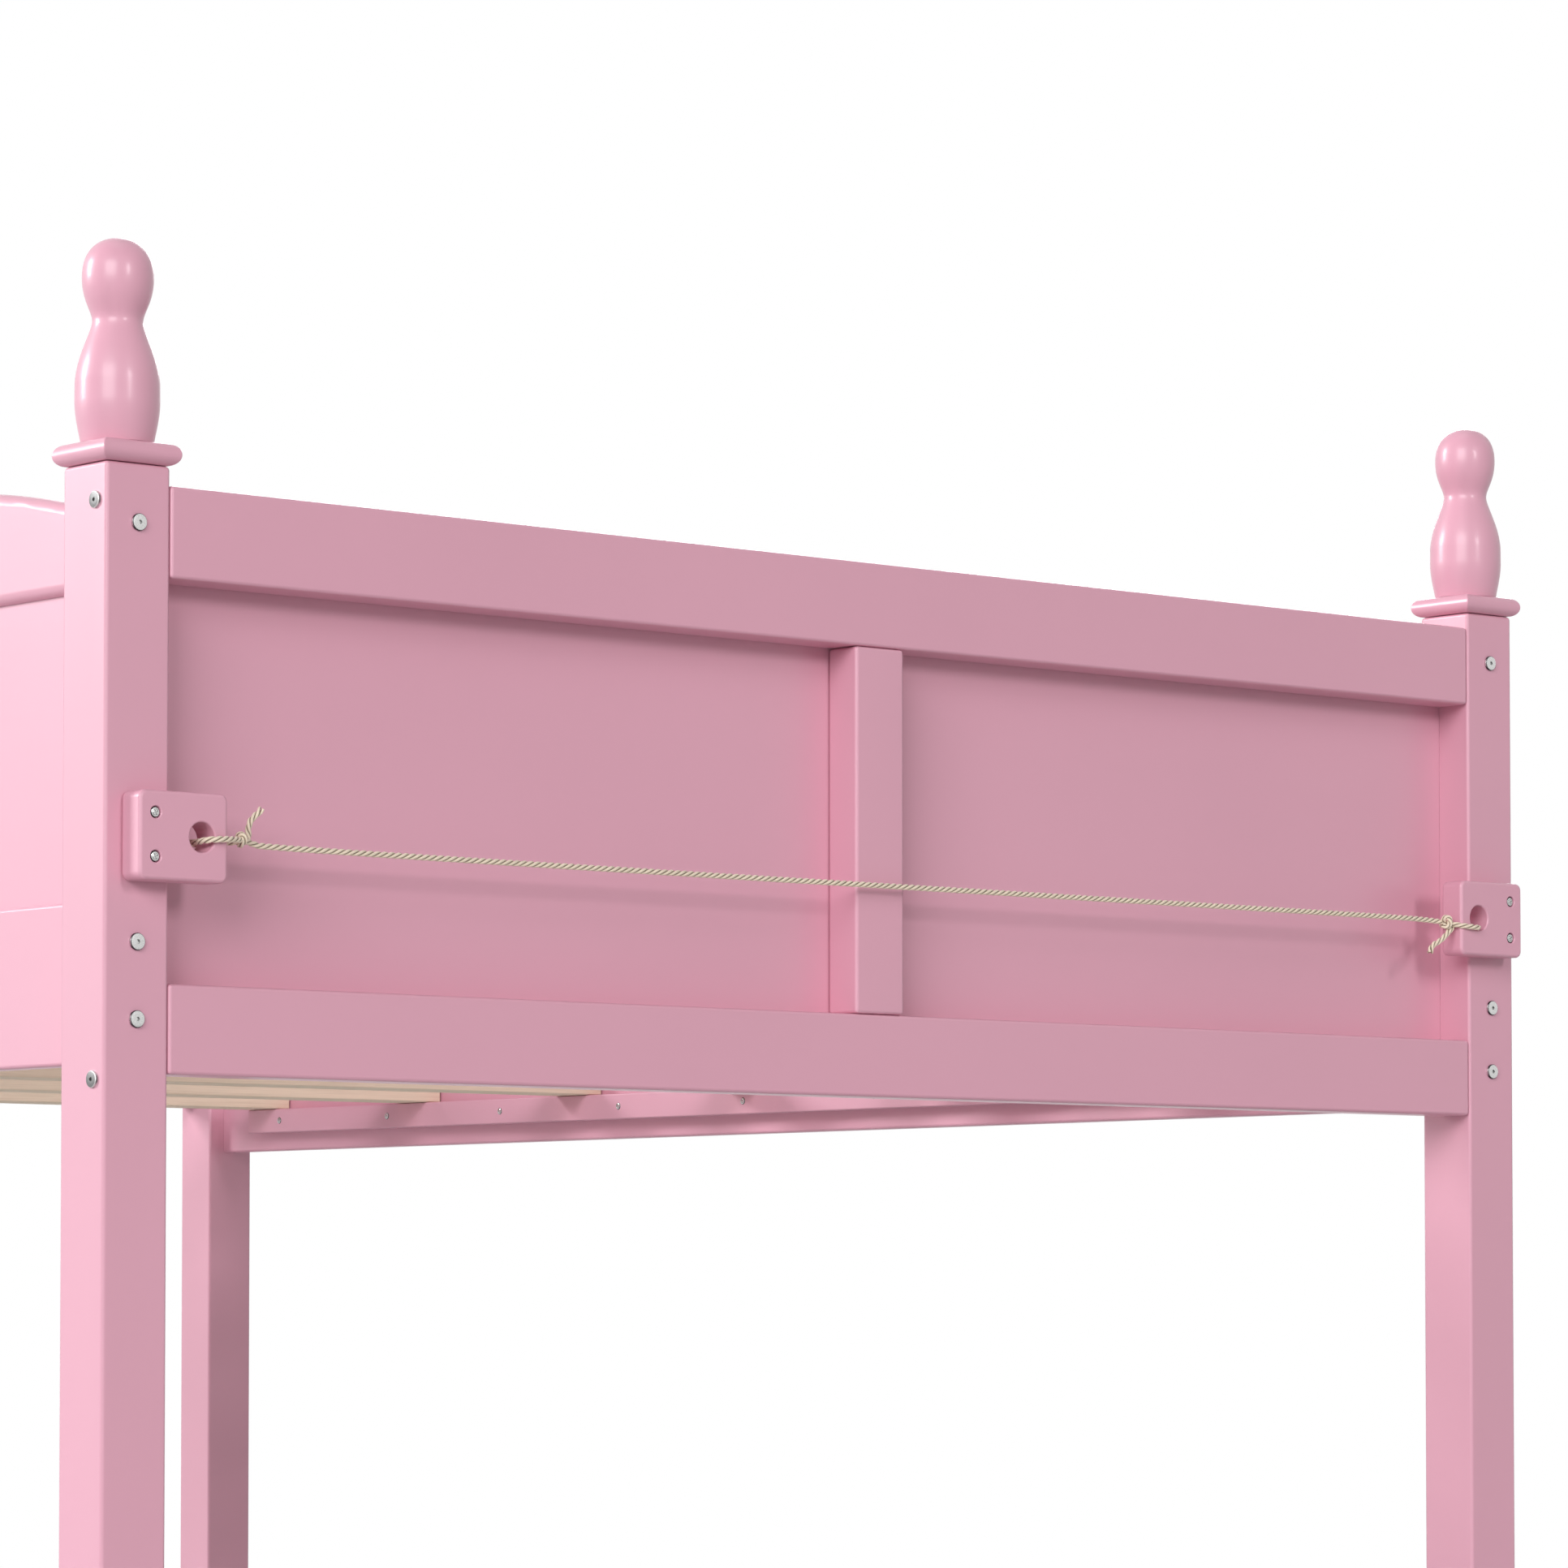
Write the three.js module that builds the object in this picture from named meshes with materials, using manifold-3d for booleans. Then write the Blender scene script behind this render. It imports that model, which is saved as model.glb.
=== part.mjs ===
// Low loft bed in painted pine: four posts with turned finials, two end frames, two side
// frames, slats on bearers, a hook-on ladder and a thin rope tied across the near end.
// Millimetres, +Z up. X runs across the bed, Y along it, and the floor is z = 0.
// The origin lies on the floor, under the middle of the whole thing, ladder included.

import * as THREE from 'three';
import Module from 'manifold-3d';
import { mergeVertices } from 'three/addons/utils/BufferGeometryUtils.js';
import { RoundedBoxGeometry } from 'three/addons/geometries/RoundedBoxGeometry.js';

const wasm = await Module();
wasm.setup();

// Clearances
const seat = 0.3;             // between two faces that bear on each other
const slip = 0.3;             // round a pin, a tongue or a bolt in its hole
const slatPlay = 1.5;         // between a slat's end and the side rail

// Bed plan
const clearWidth = 1396;      // between the posts, across the bed
const clearLength = 1890;     // between the posts, along the bed
const postSide = 57;
const postOver = 28;          // of the post above the end of the arched rail
const postRound = 3;

// Side frames
const railFloor = 750;        // under the side rails
const sideRailHeight = 121;
const sideRailThick = 19;
const boardRound = 3;
const guardHeight = 230;      // of the panel that shows between the two side rails
const sidePanelThick = 9;
const grooveDepth = 8;
const archRailThick = 26;
const archRailEnd = 62.5;     // height of the arched rail where it meets the post
const archRise = 32.5;
const archRun = 263;          // from the post to the top of the arch
const archRound = 8;
const archTrim = 9;           // drawn past a square end before it is cut

// End frames
const endRailThick = 35;
const endLowDrop = 7.7;       // of the near end's low rail under the side rails
const endLowHeight = 67;
const endTopHeight = 69;
const endTopInset = 13.8;     // of the top end rail under the top of the posts
const stileWidth = 52;
const endPanelThick = 12;
const endPanelLap = 15;       // of rail left bare behind by the panel

// Slats and their bearers
const bearerLift = 19.6;      // from under the side rail
const bearerHeight = 26.3;
const bearerThick = 20;
const slatMargin = 76;        // from the posts to the first slat
const slatWidth = 55;
const slatThick = 18;
const slatCount = 7;
const slatRound = 1.5;

// Caps and finials
const capSide = 69.5;
const capThick = 16.5;
const capRound = 8.1;
const finialBase = 27;        // radii of the turned finial
const finialBelly = 31.6;
const finialNeck = 18.9;
const finialBall = 26.6;
const bellyFrom = 31;         // levels above the cap
const bellyTo = 41;
const neckLevel = 91;
const ballLevel = 123;
const finialHeight = 152.7;
const footLean = 0.18;        // of the foot's curve outwards, as a share of its first pull
const footPulls = [0.3, 0.4]; // how stiffly a curve leaves its start and meets its end, as shares of its rise
const waistPulls = [0.46, 0.17];
const ballPulls = [0.23, 0.53];
const domePower = 2.3;        // 2 would be an ellipse, and more is blunter
const spigotRadius = 6;
const spigotDepth = 32;       // into the post

// Connector bolts
const boltRadius = 3.4;
const boltHeadRadius = 6.4;
const boltHeadThick = 2;
const boltHeadBevel = 0.6;
const boltSocketRadius = 1.7;
const boltSocketDepth = 1.2;
const boltReach = 44;         // of the bolt into the side rail
const insertRadius = 5.5;     // of the threaded insert in the end of the rail
const insertLength = 25;
const insertSunk = 1;         // under the end of the rail
const boltLowLift = 32.2;     // levels above the underside of the side rail
const boltMidLift = 89;
const boltTopLift = 46.7;     // level above the underside of the arched rail

// Entrance and ladder
const entryWidth = 400;
const guardStileWidth = 55;
const ladderMargin = 18;      // between the ladder and what stands on either side of the entrance
const ladderBoard = 22;
const ladderDepth = 65;
const treadCount = 3;
const treadThick = 20;
const treadDepth = 58;
const treadRound = 4;
const housingDepth = 8;
const hookTop = 38;           // of the hook above the side rail
const hookDrop = 34;          // of the hook's lip below the top of the side rail
const hookLip = 16;
const hookRound = 24;
const lipRound = 8;

// Rope blocks and rope
const blockInset = 14.2;      // from the outer corner of the post
const blockWidth = 78.6;
const blockHeight = 66;
const blockThick = 24;
const blockRound = 3;         // of its edges
const blockCorner = 6;        // of its outline, seen from the end of the bed
const blockLift = 45.1;       // of the middle of the block over the top of the side rails
const eyeRadius = 11.2;
const eyeInset = 69.8;        // from the outer corner of the post to the middle of the eye
const eyeLift = 0.2;          // above the middle of the block
const eyeFlare = 1.5;
const screwInset = 28.7;      // from the outer corner of the post
const screwSpread = 16.2;     // above and below the middle of the screws
const screwLift = 0.4;        // of their middle above the middle of the block
const screwSinkRadius = 4.6;
const screwSinkDepth = 3;
const ropeDiameter = 5;
const ropeDrop = 2.7;         // of the rope under the middle of the eye
const knotRadius = 6.5;
const ropeGap = 0.5;          // between the rope and the block
const knotOutLeft = 21.2;     // from the block to the middle of the knot
const knotOutRight = 7;
const tailFront = 2;          // of the rope's tails in front of the rope

// Facets
const finialSides = 20;
const boltSides = 8;
const eyeSides = 20;
const ropeSides = 8;
const ropeLineSteps = 28;
const ropeLoopSteps = 22;
const knotSides = 12;
const knotBands = 8;
const tailSteps = 8;
const curveSteps = 8;
const roundSteps = 2;
const flareSteps = 2;
const capSteps = 4;
const archSteps = 3;
const footSteps = 3;
const waistSteps = 6;
const ballSteps = 5;
const domeSteps = 5;

// Worked out from the sizes above
const postX = (clearWidth + postSide) / 2;
const postY = (clearLength + postSide) / 2;
const faceX = clearWidth / 2 + postSide;
const faceY = clearLength / 2 + postSide;
const sideRailTop = railFloor + sideRailHeight;
const archRailFloor = sideRailTop + guardHeight;
const postHeight = archRailFloor + archRailEnd + postOver;
const endTopTop = postHeight - endTopInset;
const endTopFloor = endTopTop - endTopHeight;
const bearerTop = railFloor + bearerLift + bearerHeight;
const blockLevel = sideRailTop + blockLift;
const railInner = postX - sideRailThick / 2;
const railOuter = postX + sideRailThick / 2;
const endPanelTop = endTopTop - endPanelLap;
const panelFront = postSide / 2 - endRailThick - seat;   // from the middle of the post
const boltUnders = [railFloor + boltLowLift, railFloor + boltMidLift];
const boltTopLevel = archRailFloor + boltTopLift;
const ladderClear = entryWidth - 2 * ladderMargin - 2 * ladderBoard;   // between the ladder's stiles

// The low rail hangs a little under the side rails at the near end, and at the far end it is
// flush with their tops, so that it stays out of sight behind the slats from below.
function endLowFloor(end) {
  return end < 0 ? railFloor - endLowDrop : sideRailTop - endLowHeight;
}

function endPanelFloor(end) {
  return endLowFloor(end) + endPanelLap;
}

// Finishes
const paint = new THREE.MeshStandardMaterial({ color: 0xf6bccd, roughness: 0.42, metalness: 0 });
const pine = new THREE.MeshStandardMaterial({ color: 0xd8c3a3, roughness: 0.65, metalness: 0 });
const steel = new THREE.MeshStandardMaterial({ color: 0xc9cac8, roughness: 0.3, metalness: 1 });
const hemp = new THREE.MeshStandardMaterial({ color: 0xd9cba8, roughness: 0.9, metalness: 0 });

const bed = new THREE.Group();

// Solids

function toSolid(geometry) {
  const bare = geometry.clone();
  bare.deleteAttribute('normal');
  bare.deleteAttribute('uv');
  const merged = mergeVertices(bare, 1e-4);
  const corners = merged.index.array;
  const whole = [];
  for (let i = 0; i < corners.length; i += 3) {
    const [a, b, c] = [corners[i], corners[i + 1], corners[i + 2]];
    if (a !== b && b !== c && c !== a) whole.push(a, b, c);
  }
  return new wasm.Manifold(new wasm.Mesh({
    numProp: 3,
    vertProperties: new Float32Array(merged.attributes.position.array),
    triVerts: new Uint32Array(whole),
  }));
}

function toGeometry(solid) {
  const mesh = solid.getMesh();
  const geometry = new THREE.BufferGeometry();
  geometry.setAttribute('position', new THREE.BufferAttribute(mesh.vertProperties, 3));
  geometry.setIndex(new THREE.BufferAttribute(mesh.triVerts, 1));
  geometry.computeVertexNormals();
  return geometry;
}

// The first shape with all the others cut out of it.
function carve(geometry, cuts) {
  let solid = toSolid(geometry);
  for (const cut of cuts) solid = solid.subtract(toSolid(cut));
  return toGeometry(solid);
}

function fuse(geometries) {
  let solid = toSolid(geometries[0]);
  for (const more of geometries.slice(1)) solid = solid.add(toSolid(more));
  return toGeometry(solid);
}

function common(one, other) {
  return toGeometry(toSolid(one).intersect(toSolid(other)));
}

// A plain box between two values on each axis.
function block([x0, x1], [y0, y1], [z0, z1]) {
  return new THREE.BoxGeometry(Math.abs(x1 - x0), Math.abs(y1 - y0), Math.abs(z1 - z0))
    .translate((x0 + x1) / 2, (y0 + y1) / 2, (z0 + z1) / 2);
}

function board(x, y, z, radius, steps = 1) {
  return new RoundedBoxGeometry(x, y, z, steps, radius);
}

// A round bar along one axis, between two values on it, through a point.
function bar(axis, radius, [from, to], sides, at = [0, 0, 0]) {
  const geometry = new THREE.CylinderGeometry(radius, radius, Math.abs(to - from), sides);
  geometry.translate(0, (from + to) / 2, 0);
  if (axis === 'x') geometry.rotateZ(-Math.PI / 2);
  if (axis === 'z') geometry.rotateX(Math.PI / 2);
  return geometry.translate(...at);
}

// The cutter for a round pin's hole: its flat sides stay clear of the pin by the slip.
function pinHole(axis, pinRadius, span, at) {
  return bar(axis, (pinRadius + slip) / Math.cos(Math.PI / boltSides), span, boltSides, at);
}

const axisX = new THREE.Vector3(1, 0, 0);
const axisY = new THREE.Vector3(0, 1, 0);
const axisZ = new THREE.Vector3(0, 0, 1);

// An outline made into a board of some thickness with rounded edges, centred on its outline.
// right and up are the model's directions of the outline's own x and y.
function shapedBoard(outline, right, up, thick, radius, steps, arcSteps = curveSteps) {
  const geometry = new THREE.ExtrudeGeometry(outline, {
    depth: thick - 2 * radius, bevelThickness: radius, bevelSize: radius,
    bevelOffset: -radius, bevelSegments: steps, curveSegments: arcSteps,
  });
  const axes = new THREE.Matrix4().makeBasis(right, up, new THREE.Vector3().crossVectors(right, up));
  return geometry.translate(0, 0, radius - thick / 2).applyMatrix4(axes);
}

// A rectangle with round corners, centred on the origin.
function roundedOutline(width, height, radius) {
  const [x, y] = [width / 2 - radius, height / 2 - radius];
  return new THREE.Shape()
    .moveTo(-x, -y - radius)
    .absarc(x, -y, radius, -Math.PI / 2, 0)
    .absarc(x, y, radius, 0, Math.PI / 2)
    .absarc(-x, y, radius, Math.PI / 2, Math.PI)
    .absarc(-x, -y, radius, Math.PI, Math.PI * 1.5);
}

// A board along Y with a rounded section and square ends.
function railAlongY(thick, height, length, radius) {
  const geometry = new THREE.ExtrudeGeometry(roundedOutline(thick, height, radius), {
    depth: length, bevelEnabled: false, curveSegments: roundSteps,
  });
  const axes = new THREE.Matrix4().makeBasis(axisX, axisZ, axisY.clone().negate());
  return geometry.translate(0, 0, -length / 2).applyMatrix4(axes);
}

function add(name, geometry, material, x = 0, y = 0, z = 0) {
  const mesh = new THREE.Mesh(geometry, material);
  mesh.name = name;
  mesh.position.set(x, y, z);
  bed.add(mesh);
  return mesh;
}

// Posts, caps and finials. side is -1 on the left, end is -1 at the near end.

const corners = [
  { key: 'near_left', side: -1, end: -1, guarded: true },
  { key: 'near_right', side: 1, end: -1, guarded: true },
  { key: 'far_right', side: 1, end: 1, guarded: true },
  { key: 'far_left', side: -1, end: 1, guarded: false },
];

function boltLevels({ guarded }) {
  return guarded ? [...boltUnders, boltTopLevel] : boltUnders;
}

function postGeometry(corner) {
  const { side, end, guarded } = corner;
  const half = postSide / 2;
  const cuts = [
    pinHole('z', spigotRadius, [postHeight - spigotDepth - slip, postHeight + 1]),
    block(
      [-side * (half + 1), -side * (half - grooveDepth)],
      [end * (panelFront + slip), end * (panelFront - endPanelThick - slip)],
      [endPanelFloor(end) - slip, endPanelTop + slip]),
  ];
  if (guarded) {
    cuts.push(block(
      [-sidePanelThick / 2 - slip, sidePanelThick / 2 + slip],
      [-end * (half + 1), -end * (half - grooveDepth)],
      [sideRailTop - grooveDepth, archRailFloor + grooveDepth]));
  }
  for (const level of boltLevels(corner)) {
    cuts.push(pinHole('y', boltRadius, [-half - 1, half + 1], [0, 0, level]));
  }
  return carve(board(postSide, postSide, postHeight, postRound).translate(0, 0, postHeight / 2), cuts);
}

function capGeometry() {
  const flat = capSide / 2;
  const outline = new THREE.Shape()
    .moveTo(-flat, -flat).lineTo(flat, -flat).lineTo(flat, flat).lineTo(-flat, flat);
  const plate = shapedBoard(outline, axisX, axisY, capThick, capRound, capSteps);
  return carve(plate, [pinHole('z', spigotRadius, [-capThick, capThick])]);
}

// Points of a turned curve that meets its end upright. It leaves its start upright too, or
// leaning outwards by a share of its first pull.
function swell(from, to, pulls, steps, lean = 0) {
  const rise = to.y - from.y;
  const curve = new THREE.CubicBezierCurve(
    from,
    new THREE.Vector2(from.x + lean * pulls[0] * rise, from.y + pulls[0] * rise),
    new THREE.Vector2(to.x, to.y - pulls[1] * rise),
    to);
  return curve.getPoints(steps);
}

// The finial is one turning: the spigot, then belly, neck and ball as one flowing curve.
function finialGeometry() {
  const belly = new THREE.Vector2(finialBelly, bellyFrom);
  const neck = new THREE.Vector2(finialNeck, neckLevel);
  const ball = new THREE.Vector2(finialBall, ballLevel);
  const points = [
    new THREE.Vector2(0, -capThick - spigotDepth),
    new THREE.Vector2(spigotRadius, -capThick - spigotDepth),
    new THREE.Vector2(spigotRadius, 0),
    ...swell(new THREE.Vector2(finialBase, 0), belly, footPulls, footSteps, footLean),
    ...swell(new THREE.Vector2(finialBelly, bellyTo), neck, waistPulls, waistSteps),
    ...swell(neck, ball, ballPulls, ballSteps).slice(1),
  ];
  for (let i = 1; i < domeSteps; i += 1) {
    const angle = i / domeSteps * Math.PI / 2;
    points.push(new THREE.Vector2(
      finialBall * Math.cos(angle) ** (2 / domePower),
      ballLevel + (finialHeight - ballLevel) * Math.sin(angle) ** (2 / domePower)));
  }
  points.push(new THREE.Vector2(0, finialHeight));
  return toGeometry(toSolid(new THREE.LatheGeometry(points, finialSides).rotateX(Math.PI / 2)));
}

const cap = capGeometry();
const finial = finialGeometry();
for (const corner of corners) {
  const x = corner.side * postX;
  const y = corner.end * postY;
  add(`post_${corner.key}`, postGeometry(corner), paint, x, y, 0);
  add(`post_cap_${corner.key}`, cap, paint, x, y, postHeight + seat + capThick / 2);
  add(`finial_${corner.key}`, finial, paint, x, y, postHeight + capThick + 2 * seat);
}

// Connector bolts through the posts, each fused with its threaded insert in the side rail

function boltGeometry() {
  const railEnd = postSide + 2 * seat;
  const turning = new THREE.LatheGeometry([
    new THREE.Vector2(0, -boltHeadThick),
    new THREE.Vector2(boltHeadRadius - boltHeadBevel, -boltHeadThick),
    new THREE.Vector2(boltHeadRadius, boltHeadBevel - boltHeadThick),
    new THREE.Vector2(boltHeadRadius, 0),
    new THREE.Vector2(boltRadius, 0),
    new THREE.Vector2(boltRadius, railEnd + insertSunk),
    new THREE.Vector2(insertRadius, railEnd + insertSunk),
    new THREE.Vector2(insertRadius, railEnd + insertSunk + insertLength),
    new THREE.Vector2(boltRadius, railEnd + insertSunk + insertLength),
    new THREE.Vector2(boltRadius, railEnd + boltReach),
    new THREE.Vector2(0, railEnd + boltReach),
  ], boltSides);
  const socket = bar('y', boltSocketRadius, [-boltHeadThick - 1, boltSocketDepth - boltHeadThick], 6);
  return carve(turning, [socket]);
}

// The stepped hole for one bolt and its insert. y is the rail's end, and into points along the rail.
function boltHoles(y, into, level) {
  const at = [0, 0, level];
  return [
    pinHole('y', boltRadius, [y - into, y + into * (boltReach + slip)], at),
    pinHole('y', insertRadius, [y - into, y + into * (insertSunk + insertLength + slip)], at),
  ];
}

const bolt = boltGeometry();
for (const corner of corners) {
  const names = ['low', 'mid', 'top'];
  for (const [i, level] of boltLevels(corner).entries()) {
    const mesh = add(`rail_bolt_${names[i]}_${corner.key}`, bolt, steel,
      corner.side * postX, corner.end * (faceY + seat), level);
    mesh.rotation.z = corner.end > 0 ? Math.PI : 0;
  }
}

// End frames: two rails and a stile flush with the posts, and a panel behind them

const endRailLength = clearWidth - 2 * seat;
const endTopRail = board(endRailLength, endRailThick, endTopHeight, boardRound);
const endLowRail = board(endRailLength, endRailThick, endLowHeight, boardRound);
const tongue = grooveDepth - slip;
for (const [key, end] of [['near', -1], ['far', 1]]) {
  const lowFloor = endLowFloor(end);
  const lowTop = lowFloor + endLowHeight;
  const panelFloor = endPanelFloor(end);
  const stile = board(stileWidth, endRailThick, endTopFloor - lowTop - 2 * seat, boardRound);
  const panel = new THREE.BoxGeometry(clearWidth + 2 * tongue, endPanelThick, endPanelTop - panelFloor);
  const railY = end * (faceY - endRailThick / 2);
  const panelY = end * (faceY - endRailThick - seat - endPanelThick / 2);
  add(`end_top_rail_${key}`, endTopRail, paint, 0, railY, endTopFloor + endTopHeight / 2);
  add(`end_low_rail_${key}`, endLowRail, paint, 0, railY, lowFloor + endLowHeight / 2);
  add(`end_stile_${key}`, stile, paint, 0, railY, (endTopFloor + lowTop) / 2);
  add(`end_panel_${key}`, panel, paint, 0, panelY, (panelFloor + endPanelTop) / 2);
}

// Side frames: a deep low rail, a panel in grooves and a thick rail with an arched top.
// On the left the guard stops short of the far post and leaves the entrance free.

const sides = [
  { key: 'left', side: -1, guardTo: clearLength / 2 - entryWidth, open: true },
  { key: 'right', side: 1, guardTo: clearLength / 2, open: false },
];

// The arched rail's outline, lengthwise and upwards. An end that meets a post is drawn
// past its trimmed end, and a free end is drawn as it is.
function archOutline(from, to, trimTo) {
  const top = archRailEnd + archRise;
  const radius = (archRun ** 2 + archRise ** 2) / (2 * archRise);
  const nearAngle = Math.asin((archRun + archTrim) / radius);
  const farAngle = Math.asin((archRun + trimTo) / radius);
  return new THREE.Shape()
    .moveTo(from - archTrim, 0)
    .lineTo(to + trimTo, 0)
    .absarc(to - archRun, top - radius, radius, Math.PI / 2 - farAngle, Math.PI / 2)
    .absarc(from + archRun, top - radius, radius, Math.PI / 2, Math.PI / 2 + nearAngle);
}

function archRailGeometry({ guardTo, open }) {
  const from = -clearLength / 2;
  const outline = archOutline(from, guardTo, open ? 0 : archTrim);
  const rail = shapedBoard(outline, axisY, axisZ, archRailThick, archRound, archSteps);
  const keep = block(
    [-archRailThick, archRailThick],
    [from + seat, open ? guardTo + 1 : guardTo - seat],
    [-1, archRailEnd + archRise + 1]);
  const grooveTo = open ? guardTo - guardStileWidth + grooveDepth : guardTo;
  const cuts = [
    block([-sidePanelThick / 2 - slip, sidePanelThick / 2 + slip], [from - 1, grooveTo], [-1, grooveDepth]),
    ...boltHoles(from + seat, 1, boltTopLift),
  ];
  if (!open) cuts.push(...boltHoles(guardTo - seat, -1, boltTopLift));
  return carve(common(rail, keep), cuts);
}

function sideRailGeometry({ guardTo, open }) {
  const half = clearLength / 2 - seat;
  const grooveTo = open ? guardTo - guardStileWidth + grooveDepth : guardTo;
  const cuts = [block(
    [-sidePanelThick / 2 - slip, sidePanelThick / 2 + slip],
    [-half - 1, grooveTo],
    [sideRailHeight / 2 - grooveDepth, sideRailHeight / 2 + 1])];
  for (const lift of [boltLowLift, boltMidLift]) {
    const level = lift - sideRailHeight / 2;
    cuts.push(...boltHoles(-half, 1, level), ...boltHoles(half, -1, level));
  }
  return carve(railAlongY(sideRailThick, sideRailHeight, 2 * half, boardRound), cuts);
}

const bearer = board(bearerThick, clearLength - 2 * slatMargin, bearerHeight, slatRound);
for (const frame of sides) {
  const { key, side, guardTo, open } = frame;
  const x = side * postX;
  const panelFrom = -clearLength / 2 - tongue;
  const panelTo = guardTo + (open ? tongue - guardStileWidth : tongue);
  const panel = new THREE.BoxGeometry(sidePanelThick, panelTo - panelFrom, guardHeight + 2 * tongue);
  add(`side_rail_${key}`, sideRailGeometry(frame), paint, x, 0, railFloor + sideRailHeight / 2);
  add(`side_panel_${key}`, panel, paint, x, (panelFrom + panelTo) / 2, sideRailTop + guardHeight / 2);
  add(`arched_rail_${key}`, archRailGeometry(frame), paint, x, 0, archRailFloor);
  add(`slat_bearer_${key}`, bearer, paint,
    side * (railInner - seat - bearerThick / 2), 0, bearerTop - bearerHeight / 2);
}

const guardStileHeight = guardHeight - 2 * seat;
const guardStile = carve(board(sideRailThick, guardStileWidth, guardStileHeight, boardRound), [block(
  [-sidePanelThick / 2 - slip, sidePanelThick / 2 + slip],
  [-guardStileWidth / 2 - 1, grooveDepth - guardStileWidth / 2],
  [-guardHeight, guardHeight])]);
add('guard_end_stile', guardStile, paint,
  -postX, sides[0].guardTo - guardStileWidth / 2, sideRailTop + guardHeight / 2);

// Slats, each laid across both bearers

const slat = board(2 * (railInner - slatPlay), slatWidth, slatThick, slatRound);
const slatPitch = (clearLength - 2 * slatMargin - slatWidth) / (slatCount - 1);
for (let i = 0; i < slatCount; i += 1) {
  const y = slatMargin + slatWidth / 2 - clearLength / 2 + i * slatPitch;
  add(`slat_${i + 1}`, slat, pine, 0, y, bearerTop + seat + slatThick / 2);
}

// Ladder: two stiles that hook over the left side rail and stand on the floor, and treads
// housed in them. The stile's outline runs outwards from the rail's outer face, and upwards.

const treadPitch = sideRailTop / (treadCount + 1);
const ladderMiddle = seat + ladderDepth / 2;

function ladderStileGeometry(inner) {
  const out = seat + ladderDepth;
  const hookIn = -sideRailThick - seat;
  const top = sideRailTop + hookTop;
  const outline = new THREE.Shape()
    .moveTo(seat, 0)
    .lineTo(out, 0)
    .absarc(out - hookRound, top - hookRound, hookRound, 0, Math.PI / 2)
    .absarc(hookIn - hookLip + lipRound, top - lipRound, lipRound, Math.PI / 2, Math.PI)
    .lineTo(hookIn - hookLip, sideRailTop - hookDrop)
    .lineTo(hookIn, sideRailTop - hookDrop)
    .lineTo(hookIn, sideRailTop + seat)
    .lineTo(seat, sideRailTop + seat);
  const stile = shapedBoard(outline, axisX.clone().negate(), axisZ, ladderBoard, boardRound, 1);
  const cuts = [];
  for (let i = 1; i <= treadCount; i += 1) {
    cuts.push(block(
      [-ladderMiddle - treadDepth / 2 - slip, -ladderMiddle + treadDepth / 2 + slip],
      [inner * (ladderBoard / 2 + 1), inner * (ladderBoard / 2 - housingDepth)],
      [i * treadPitch - treadThick - slip, i * treadPitch + slip]));
  }
  return carve(stile, cuts);
}

const ladderY = clearLength / 2 - entryWidth / 2;
const ladderStileY = (ladderClear + ladderBoard) / 2;
add('ladder_stile_near', ladderStileGeometry(1), paint, -railOuter, ladderY - ladderStileY, 0);
add('ladder_stile_far', ladderStileGeometry(-1), paint, -railOuter, ladderY + ladderStileY, 0);
const tread = board(treadDepth, ladderClear + 2 * (housingDepth - slip), treadThick, treadRound);
for (let i = 1; i <= treadCount; i += 1) {
  add(`ladder_tread_${i}`, tread, paint, -railOuter - ladderMiddle, ladderY, i * treadPitch - treadThick / 2);
}

// Rope blocks, screwed to the near posts, each with an eye through it

// The cutter for an eye: a bore with a quarter round at both of its mouths.
function eyeCutter() {
  const half = blockThick / 2;
  const points = [new THREE.Vector2(0, -half - 1), new THREE.Vector2(eyeRadius + eyeFlare, -half - 1)];
  for (let i = 0; i <= flareSteps; i += 1) {
    const angle = i / flareSteps * Math.PI / 2;
    points.push(new THREE.Vector2(
      eyeRadius + eyeFlare - eyeFlare * Math.sin(angle), -half + eyeFlare - eyeFlare * Math.cos(angle)));
  }
  const mirrored = points.map((point) => new THREE.Vector2(point.x, -point.y)).reverse();
  return new THREE.LatheGeometry([...points, ...mirrored], eyeSides);
}

function ropeBlockGeometry(side) {
  const fromCorner = (inset) => side * (blockInset + blockWidth / 2 - inset);
  const face = -blockThick / 2;
  const cuts = [eyeCutter().translate(fromCorner(eyeInset), 0, eyeLift)];
  for (const z of [screwLift - screwSpread, screwLift + screwSpread]) {
    cuts.push(bar('y', screwSinkRadius, [face - 1, face + screwSinkDepth], boltSides,
      [fromCorner(screwInset), 0, z]));
  }
  const outline = roundedOutline(blockWidth, blockHeight, blockCorner);
  return carve(shapedBoard(outline, axisX, axisZ, blockThick, blockRound, roundSteps, roundSteps), cuts);
}

// Rope: a straight line between two knots, and at each a loop through the eye of the block

const ropeRadius = ropeDiameter / 2;
const ropeY = -faceY - seat - blockThick / 2;
const ropeZ = blockLevel + eyeLift - ropeDrop;

function ropeTube(curve, steps) {
  const section = new THREE.Shape();
  for (let i = 0; i < ropeSides; i += 1) {
    const angle = 2 * Math.PI * i / ropeSides;
    const [x, y] = [ropeRadius * Math.cos(angle), ropeRadius * Math.sin(angle)];
    if (i === 0) section.moveTo(x, y);
    else section.lineTo(x, y);
  }
  return new THREE.ExtrudeGeometry(section, { extrudePath: curve, steps });
}

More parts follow.
